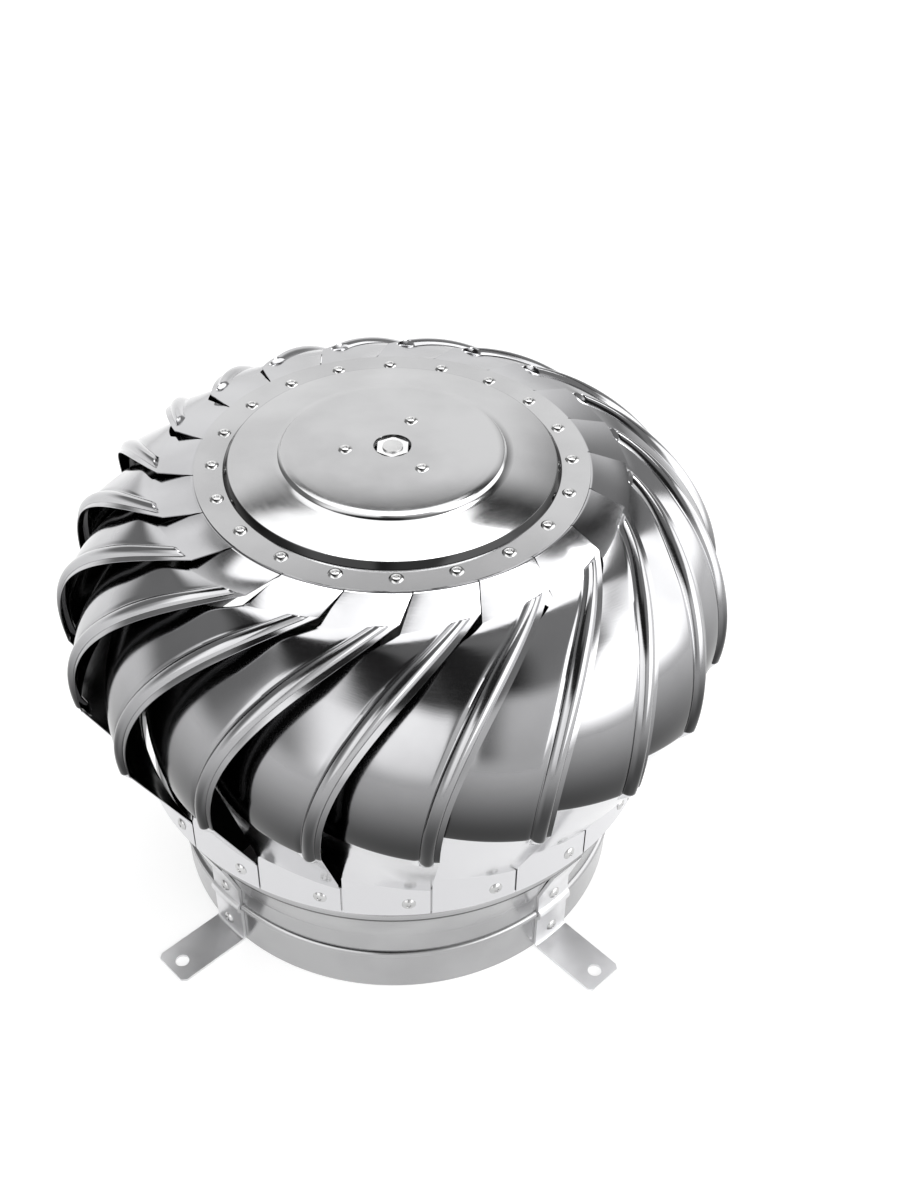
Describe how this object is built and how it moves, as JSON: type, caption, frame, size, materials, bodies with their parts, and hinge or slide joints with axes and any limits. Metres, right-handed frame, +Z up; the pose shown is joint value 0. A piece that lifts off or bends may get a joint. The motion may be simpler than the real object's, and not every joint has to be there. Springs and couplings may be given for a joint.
{
  "type": "roof turbine ventilator",
  "caption": "Wind-driven roof ventilator: curved pressed vanes between a round cap and a ring, free to spin on a shaft over a round neck with feet.",
  "frame": {"origin": "centre of the neck's lower edge, in the plane that the feet rest on", "axes": "+Z up along the shaft; -Y is the front, midway between two feet; feet stand at 45 degrees to X and Y"},
  "size_m": [0.415, 0.415, 0.3246],
  "materials": {
    "balls": "ground and polished steel",
    "bearing_rings": "ground bearing steel",
    "brackets": "bright stainless strip",
    "cages": "pressed steel",
    "cross_bars": "satin stainless strip",
    "cups": "pressed zinc plated steel",
    "foot_rivets": "bright domed blind rivets",
    "hardware": "zinc plated steel",
    "hub_plate": "satin stainless plate",
    "lower_ring": "bright rolled strip",
    "neck_ring": "polished stainless sheet",
    "rivets": "bright domed blind rivets",
    "shaft": "turned steel",
    "spokes": "satin stainless strip",
    "top_cap": "polished stainless pressing",
    "vanes": "mirror polished stainless sheet"
  },
  "bodies": {
    "base": {"cross_bar_lower": "cross_bars", "cross_bar_upper": "cross_bars", "foot_bracket_1": "brackets", "foot_bracket_2": "brackets", "foot_bracket_3": "brackets", "foot_bracket_4": "brackets", "foot_rivets": "foot_rivets", "lower_bar_nut": "hardware", "lower_bar_washer": "hardware", "lower_bearing_inner_ring": "bearing_rings", "neck_ring": "neck_ring", "retaining_clip": "hardware", "shaft": "shaft", "top_nut": "hardware", "top_washer": "hardware", "upper_bar_nut": "hardware", "upper_bar_washer": "hardware", "upper_bearing_inner_ring": "bearing_rings"},
    "rotor": {"cap_rivets": "rivets", "hub_plate": "hub_plate", "lower_bearing_cup": "cups", "lower_bearing_outer_ring": "bearing_rings", "lower_cup_rivets": "rivets", "lower_ring": "lower_ring", "ring_rivets": "rivets", "spoke_1": "spokes", "spoke_2": "spokes", "spoke_3": "spokes", "spoke_4": "spokes", "spoke_5": "spokes", "spoke_end_rivets": "rivets", "spoke_hub_rivets": "rivets", "top_cap": "top_cap", "upper_bearing_cup": "cups", "upper_bearing_outer_ring": "bearing_rings", "upper_cup_rivets": "rivets", "vane_01": "vanes", "vane_02": "vanes", "vane_03": "vanes", "vane_04": "vanes", "vane_05": "vanes", "vane_06": "vanes", "vane_07": "vanes", "vane_08": "vanes", "vane_09": "vanes", "vane_10": "vanes", "vane_11": "vanes", "vane_12": "vanes", "vane_13": "vanes", "vane_14": "vanes", "vane_15": "vanes", "vane_16": "vanes", "vane_17": "vanes", "vane_18": "vanes", "vane_19": "vanes", "vane_20": "vanes"},
    "upper_ball_set": {"upper_bearing_balls": "balls", "upper_bearing_cage": "cages"},
    "lower_ball_set": {"lower_bearing_balls": "balls", "lower_bearing_cage": "cages"}
  },
  "joints": [
    {"name": "rotor_spin", "type": "hinge", "parent": "base", "child": "rotor", "pos_m": [0, 0, 0.2], "axis": [0, 0, 1], "continuous": true},
    {"name": "upper_ball_spin", "type": "hinge", "parent": "base", "child": "upper_ball_set", "pos_m": [0, 0, 0.3095], "axis": [0, 0, 1], "continuous": true},
    {"name": "lower_ball_spin", "type": "hinge", "parent": "base", "child": "lower_ball_set", "pos_m": [0, 0, 0.1115], "axis": [0, 0, 1], "continuous": true}
  ],
  "couplings": [
    {"joint": "upper_ball_spin", "follows": "rotor_spin", "ratio": 0.618},
    {"joint": "lower_ball_spin", "follows": "rotor_spin", "ratio": 0.618}
  ]
}
